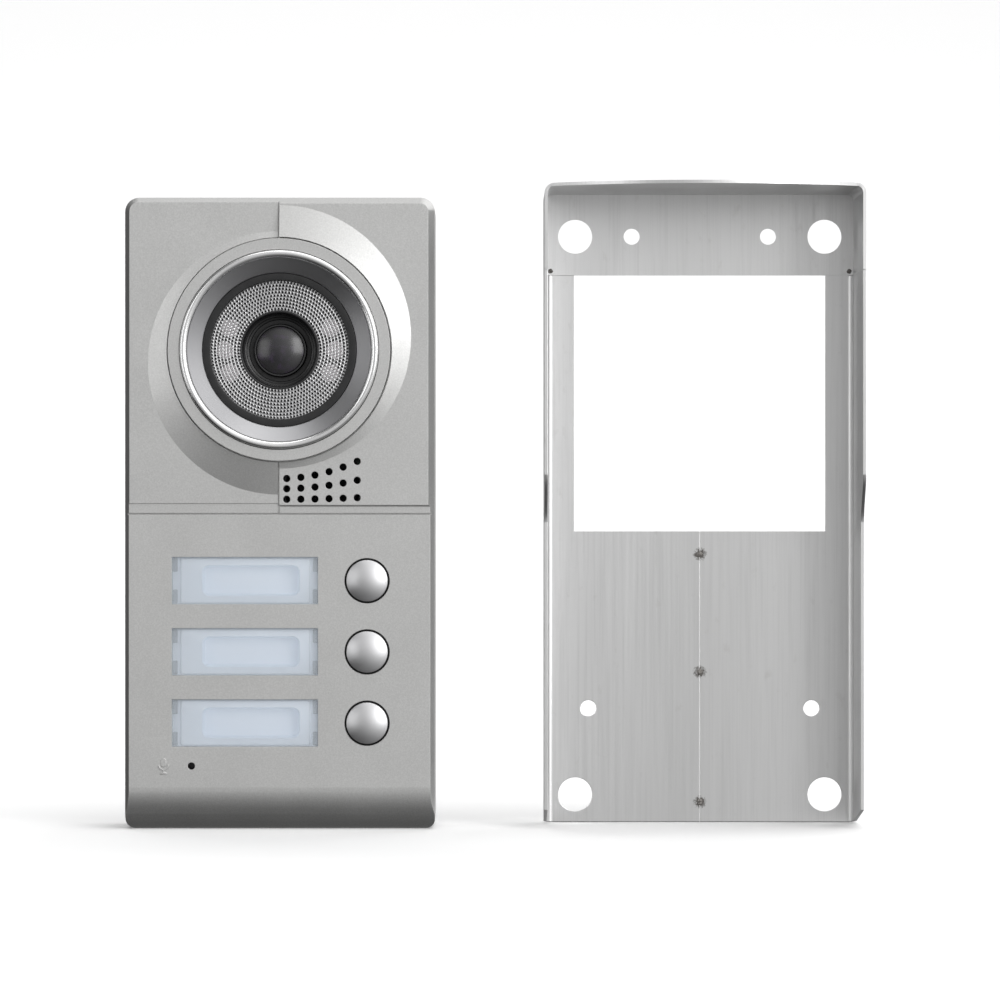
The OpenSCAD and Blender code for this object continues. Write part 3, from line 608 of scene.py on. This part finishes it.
ring_back, ring_front = LAMP_BOARD - 1, MESH_OUT + 0.8
ring = rounded([
    (24.2, ring_back), (24.2, ring_front), (22.0, ring_front), (22.0, MESH_OUT - 0.5),
    (21.0, MESH_OUT - 0.5), (21.0, MESH_OUT - 2.6), (23.5, MESH_OUT - 2.6), (23.5, ring_back),
], 0.15)
lathe("lamp_ring_black", "panel", "black_plastic", ring, 0, CAMERA_UP, ["lamp_ring"], 192)

shroud = rounded([(r, LENS_FRONT + level) for r, level in [
    (SHROUD_R, -4.0), (SHROUD_R, 4.4), (11.9, 4.4), (11.6, 3.7), (11.5, 0.4), (11.2, 0.2), (11.2, -0.8),
    (10.6, -1.0), (10.6, -2.0), (9.8, -2.2), (9.8, -3.0), (8.4, -3.0), (8.4, -4.0),
]], 0.15)
lathe("camera_shroud_cup", "panel", "black_plastic", shroud, 0, CAMERA_UP, ["camera_shroud"], 160)

barrel = rounded([(r, LENS_FRONT + level) for r, level in [
    (8.2, -6.0), (8.2, -2.8), (7.9, -2.6), (8.2, -2.4), (8.2, 0.0), (7.7, 0.0), (7.45, -0.5), (7.45, -1.0),
    (4.5, -1.0), (4.5, -14.0), (6.0, -14.0), (6.0, -6.0),
]], 0.12)
lathe("lens_barrel_fine", "panel", "black_plastic", barrel, 0, CAMERA_UP, ["lens_barrel"], 128)


def domed(radius, height, apex, steps):
    """The profile of a round dome, from its apex out to its edge."""
    ball = (radius ** 2 + height ** 2) / (2 * height)
    half = math.degrees(math.asin(radius / ball))
    turns = [math.radians(half * i / steps) for i in range(steps + 1)]
    return [(ball * math.sin(t), apex - ball + ball * math.cos(t)) for t in turns]


glass = [(0, GLASS_APEX)] + domed(GLASS_R, GLASS_BULGE, GLASS_APEX, 20)[1:]
glass += [(GLASS_R, LENS_FRONT - 0.9), (GLASS_R - 0.1, LENS_FRONT - 1), (0, LENS_FRONT - 1)]
lathe("lens_front_glass", "panel", "lens_glass", glass, 0, CAMERA_UP, ["lens_glass"], 128, False)


def perforated():
    """The lamp mesh: rings of small holes, each with a raised round lip."""
    rows = 9
    pitch = (MESH_R - MESH_INNER) / rows
    back = MESH_OUT - MESH_T
    lip = ((0.47, MESH_OUT - 0.08), (0.41, MESH_OUT), (0.33, MESH_OUT - 0.06), (0.32, back))
    verts, faces = [], []

    def polar(r, t, out):
        verts.append(at(r * math.cos(t), CAMERA_UP + r * math.sin(t), out))
        return len(verts) - 1

    for row in range(rows):
        low, high = MESH_INNER + row * pitch, MESH_INNER + (row + 1) * pitch
        middle = (low + high) / 2
        count = round(2 * math.pi * middle / pitch)
        step = 2 * math.pi / count
        turn0 = 0.37 * row * step
        edge = [polar(r, turn0 + k * step / 2, MESH_FLAT)
                for k in range(2 * count) for r in (low, middle, high)]
        rear = [polar(r, turn0 + k * step, back) for k in range(count) for r in (low, high)]
        for k in range(count):
            a, b, c = 6 * k, 6 * k + 3, (6 * k + 6) % (6 * count)
            square = [edge[i] for i in (a + 1, a, b, c, c + 1, c + 2, b + 2, a + 2)]
            middle_turn = turn0 + (k + 0.5) * step
            cx, cy = middle * math.cos(middle_turn), middle * math.sin(middle_turn)
            rings = []
            for radius, out in lip:
                loop = []
                for j in range(8):
                    t = middle_turn + math.pi + j * math.pi / 4
                    verts.append(at(cx + radius * math.cos(t), CAMERA_UP + cy + radius * math.sin(t), out))
                    loop.append(len(verts) - 1)
                rings.append(loop)
            for first, second in zip([reordered(square, verts, rings[0])] + rings, rings):
                for j in range(8):
                    n = (j + 1) % 8
                    faces.append([first[j], first[n], second[n], second[j]])
            n = (k + 1) % count
            corner = [rear[2 * k], rear[2 * n], rear[2 * n + 1], rear[2 * k + 1]]
            last = rings[-1]
            around = [corner[0], corner[3], corner[2], corner[1]]
            for j in range(4):
                near, side, far = last[2 * j], last[2 * j + 1], last[(2 * j + 2) % 8]
                this, following = around[j], around[(j + 1) % 4]
                faces += [[this, near, side], [this, side, far], [this, far, following]]
    return verts, faces


def reordered(loop, verts, ring):
    """The loop turned and run the way that brings it nearest to the ring, point by point."""
    best = None
    for way in (loop, loop[::-1]):
        for k in range(len(loop)):
            turned_loop = way[k:] + way[:k]
            cost = sum((verts[a] - verts[b]).length for a, b in zip(turned_loop, ring))
            if best is None or cost < best[0]:
                best = (cost, turned_loop)
    return best[1]


mesh_verts, mesh_faces = perforated()
for radius in (MESH_INNER, MESH_R):
    rim = turned([(radius, MESH_FLAT), (radius, MESH_OUT - MESH_T)], 0, CAMERA_UP, 192, False)
    mesh_verts, mesh_faces = joined([(mesh_verts, mesh_faces), rim])
add_piece("lamp_mesh_perforated", "panel", "mesh_metal", mesh_verts, mesh_faces, ["lamp_mesh"], 50)

lamps = []
lamp_base = LAMP_BOARD + 1.6
head_out = LAMP_BOARD + 3.3
head_r = 2.5
lamp = [(2.8, lamp_base), (2.8, lamp_base + 0.7), (2.7, lamp_base + 0.8), (2.5, lamp_base + 0.85)]
lamp += arc((0, head_out), head_r, 0, 90, 10)[:-1] + [(0, head_out + head_r)]
for turn in LAMP_ANGLES:
    x = LAMP_CIRCLE * math.cos(math.radians(turn))
    up = CAMERA_UP + LAMP_CIRCLE * math.sin(math.radians(turn))
    lamps.append(turned([(0, lamp_base)] + lamp, x, up, 40, False))
add_piece("infrared_lamp_set", "panel", "lamp_epoxy", *joined(lamps), replaced=["infrared_lamps"])

# ---- Call buttons ----

cap = domed(BUTTON_R, DOME_H, CAP_TOP + DOME_H, 24)[:-1]
cap += rounded([cap[-1], (BUTTON_R, CAP_TOP, 0.35), (BUTTON_R, CAP_INSIDE)], 0, 6, False)[1:]
cap_shell = [(0, CAP_TOP + DOME_H)] + cap[1:] + rounded([
    (BUTTON_R, 35.5), (BUTTON_R, 34.6, 0.15), (5.4, 34.6, 0.1), (5.4, CAP_INSIDE, 0.3), (0, CAP_INSIDE),
], 0, 4, False)
plunger = [(0, CAP_INSIDE)] + rounded([
    (1.9, CAP_INSIDE), (5.38, CAP_INSIDE, 0.2), (5.38, 34.5, 0.05), (6.4, 34.5, 0.2), (6.4, 33.7, 0.15),
    (8.0, 33.7, 0.25), (8.0, 32.2, 0.2), (5.4, 32.2, 0.2), (5.0, 35.8, 0.3), (2.0, 35.8, 0.3),
    (2.0, STEM_END, 0.2), (0, STEM_END),
], 0, 4, False)[1:]
for row, up in ROWS.items():
    lathe(f"call_button_{row}_cap", f"{row}_button", "button_chrome", cap_shell, BUTTON_X, up,
          [f"call_button_{row}"], 128, False)
    lathe(f"call_button_{row}_plunger", f"{row}_button", "black_plastic", plunger, BUTTON_X, up,
          (), 96, False)

# ---- Name windows ----


def outline(w, h, r, steps=6):
    """The corner points of a rounded rectangle, from its lower left corner round."""
    loop = []
    for cx, cy, start in ((-w / 2 + r, -h / 2 + r, 180), (w / 2 - r, -h / 2 + r, 270),
                          (w / 2 - r, h / 2 - r, 0), (-w / 2 + r, h / 2 - r, 90)):
        loop += arc((cx, cy), r, start, start + 90, steps)
    return loop


def stacked(levels, x, up, shifts=None):
    """A solid whose cross-section is a rounded rectangle at each level: (width, height, radius, out)."""
    verts, faces = [], []
    for i, (w, h, r, out) in enumerate(levels):
        dx = shifts[i] if shifts else 0
        verts += [at(x + dx + a, up + b, out) for a, b in outline(w, h, r)]
    count = len(verts) // len(levels)
    for level in range(len(levels) - 1):
        low, high = level * count, (level + 1) * count
        for k in range(count):
            n = (k + 1) % count
            faces.append([low + k, low + n, high + n, high + k])
    faces.append(list(range(count))[::-1])
    faces.append([(len(levels) - 1) * count + k for k in range(count)])
    return verts, faces


w, h = WINDOW_W, WINDOW_H
lip_w, lip_h = w + 3.2, h + 3.2
for row, up in ROWS.items():
    slab = stacked([
        (w - 0.2, h - 0.2, 0.4, 34.8), (w, h, 0.4, 34.9), (w, h, 0.4, WINDOW_FRONT - 0.25),
        (w - 0.2, h - 0.2, 0.4, WINDOW_FRONT - 0.08), (w - 0.6, h - 0.6, 0.35, WINDOW_FRONT),
    ], WINDOW_X, up)
    legs = [stacked([(1.2, 4.0, 0.2, 33.8), (1.4, 4.2, 0.3, 33.95), (1.4, 4.2, 0.3, 34.9)],
                    WINDOW_X + side * (w / 2 - 0.9), up + end * (h / 2 - 2.4))
            for side in (-1, 1) for end in (-1, 1)]
    add_piece(f"name_window_{row}_cover", "panel", "clear_plastic", *joined([slab] + legs),
              replaced=[f"name_window_{row}"])
    tray = stacked([
        (w - 2, h - 1, 0.5, 22.6), (w - 2, h - 1, 0.5, 31.7),
        (lip_w, lip_h, 0.6, 31.8), (lip_w, lip_h, 0.6, 33.7),
        (w - 4.8, h - 0.4, 0.5, 33.72), (w - 5.2, h - 0.5, 0.5, 34.35), (w - 5.6, h - 0.9, 0.7, 34.58),
        (w - 6.2, h - 1.5, 0.9, TRAY_FRONT), (30.9, 9.8, 2.3, TRAY_FRONT), (30.5, 9.4, 2.1, 34.3),
        (30.1, 9.0, 1.9, 30.3), (29.5, 8.4, 1.6, 29.8), (28.5, 7.4, 1.3, TRAY_FLOOR),
    ], WINDOW_X, up, [0] * 8 + [1.8] * 5)
    add_piece(f"name_tray_{row}_milky", "panel", "milky_plastic", *tray, replaced=[f"name_tray_{row}"])

# ---- Everything else: copies of the CAD shapes, with rounded edges ----

# The width of the rounding in millimetres, its segments, and the angle from which an edge is rounded.
FINE = {
    "rear_cover": (0.3, 2, 20), "housing_seal": (0.2, 2, 20),
    "lens_holder": (0.2, 2, 20), "image_sensor": (0.1, 2, 20), "camera_board": (0.12, 2, 20),
    "camera_board_screws": (0.15, 2, 25), "infrared_board": (0.12, 2, 20),
    "button_carrier": (0.2, 2, 20), "tact_switches": (0.15, 2, 20), "main_board": (0.12, 2, 20),
    "main_board_screws": (0.15, 2, 25), "main_processor": (0.2, 2, 20), "backlight_lamps": (0.12, 2, 20),
    "ribbon_cable": (0.08, 2, 20), "speaker_gasket": (0.15, 2, 25), "speaker_basket": (0.2, 2, 25),
    "speaker_cone": (0.08, 2, 25), "speaker_magnet": (0.3, 2, 25), "microphone_capsule": (0.2, 2, 25),
    "microphone_boot": (0.2, 2, 25), "case_screws": (0.15, 2, 25), "terminal_block": (0.25, 2, 20),
    "terminal_screws": (0.12, 2, 25), "hood_left_half": (0.12, 2, 30), "hood_right_half": (0.12, 2, 30),
    "hood_cap": (0.12, 2, 30),
}
for node, (width, segments, angle) in FINE.items():
    refine(node, width, segments, angle)
for node in ("infrared_board", "camera_board"):
    bpy.data.objects[node + "_fine"].data.materials[0] = MATERIALS["circuit_board_black"].mat


def weld_spot(x, up, radius, height, seed):
    """A spot weld: an uneven bead with a ragged rim on the sheet."""
    verts, faces = [], []
    rings, around = 7, 28
    for i in range(rings + 1):
        for k in range(around):
            t = 2 * math.pi * k / around
            ragged = 0.78 + 0.22 * noise.noise(Vector((1.7 * math.cos(t), 1.7 * math.sin(t), seed)))
            r = radius * ragged * i / rings
            a, b = r * math.cos(t), r * math.sin(t)
            lump = noise.noise(Vector((a * 1.9, b * 1.9, seed + 5)))
            top = height * (1 - (i / rings) ** 3) * max(0.15, min(1.0, 0.62 + 0.8 * lump))
            verts.append(at(x + a, up + b, HOOD_SHEET + (0.005 if i == rings else top)))
    for i in range(rings):
        for k in range(around):
            n = (k + 1) % around
            faces.append([i * around + k, i * around + n, (i + 1) * around + n, (i + 1) * around + k])
    base = len(verts)
    for k in range(around):
        verts.append(verts[rings * around + k] + Vector((0, 0.05 * MM, 0)))
    for k in range(around):
        n = (k + 1) % around
        faces.append([rings * around + k, rings * around + n, base + n, base + k])
    faces.append([base + k for k in range(around)])
    return verts, faces


spots = [weld_spot(HOOD_X, up, 1.25, 0.45, 3 * i) for i, up in enumerate(WELD_SPOTS)]
spots += [weld_spot(HOOD_X + side * (HOOD_W / 2 - 2.3), CAP_LOW + 1.3, 1.0, 0.6, 40 + side)
          for side in (-1, 1)]
add_piece("hood_spot_welds", "hood", "weld_metal", *joined(spots), replaced=["hood_welds"], sharp=50)


def choose_edges(obj, faint, strong):
    """Weighs the edges for rounding: faint steps of the upper face too, but none on the lower face.

    On the lower face rounding would fold the thin triangles between its small holes."""
    mesh = obj.data
    bm = bmesh.new()
    bm.from_mesh(mesh)
    weights = []
    for edge in bm.edges:
        middle = (edge.verts[0].co + edge.verts[1].co) / 2
        x, out, up = middle.x / MM, -middle.y / MM, middle.z / MM + PATTERN_UP
        turn = math.degrees(edge.calc_face_angle(0))
        on_face = abs(x) < FACE_HALF_W and CHIN_UP < up < FACE_TOP_UP and out > FACE_OUT_MIN
        lower = on_face and up < GROOVE_UP + 0.6
        weights.append(0.0 if lower else float(turn > (faint if on_face else strong)))
    bm.free()
    mesh.attributes.new("bevel_weight_edge", "FLOAT", "EDGE").data.foreach_set("value", weights)


# Each return spring gets an unrounded copy with a mesh of its own; on the real unit it shortens by the
# button's stroke, towards its seat in the carrier.
for row in ROWS:
    node = f"button_spring_{row}"
    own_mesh(refine(node, 0))

housing = refine("front_housing", 0, name="front_housing_cast")
choose_edges(housing, faint=5, strong=12.5)
soften(housing, width=0.28, segments=3, chosen=True)

for node, obj in frame["nodes"].items():
    obj.data.materials.clear()
    obj.data.materials.append(MATERIALS[slot_of[node]].mat)
